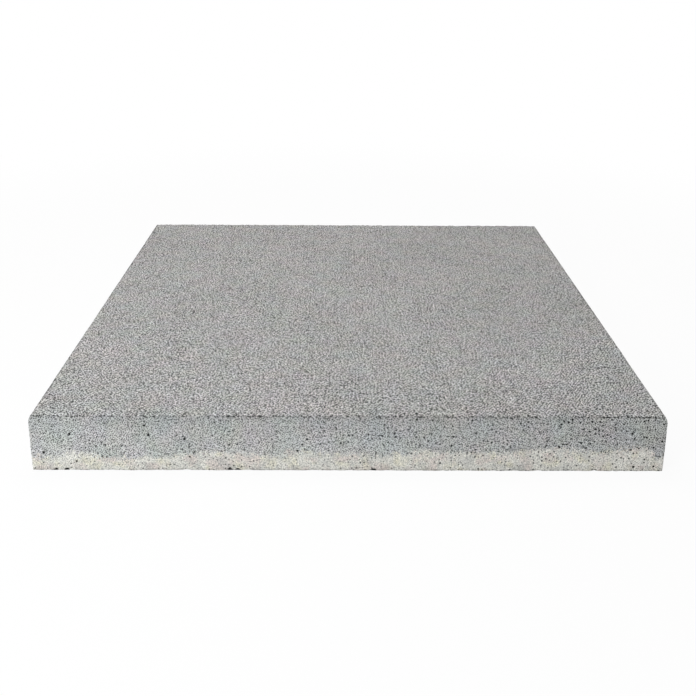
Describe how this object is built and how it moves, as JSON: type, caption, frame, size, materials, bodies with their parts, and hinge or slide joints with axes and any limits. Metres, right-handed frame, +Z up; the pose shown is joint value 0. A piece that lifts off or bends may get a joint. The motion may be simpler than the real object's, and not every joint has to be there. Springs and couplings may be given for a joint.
{
  "type": "concrete paving slab",
  "caption": "Square concrete paving slab with a fine-grained grey wearing face, a pale backing mix along the foot of its sides and part-round arrises, laid flat on a bed.",
  "frame": {"origin": "centre of the underside, the face that lies on the bed", "axes": "+Z up through the wearing face, +X to the right and +Y away as seen from the front face"},
  "size_m": [0.4, 0.4, 0.038],
  "materials": {
    "concrete": "matt pressed concrete: grey facing mix with fine pores and sand grains, pale cream backing mix in the lowest third"
  },
  "bodies": {
    "root": {"paving_slab": "concrete"}
  },
  "joints": []
}
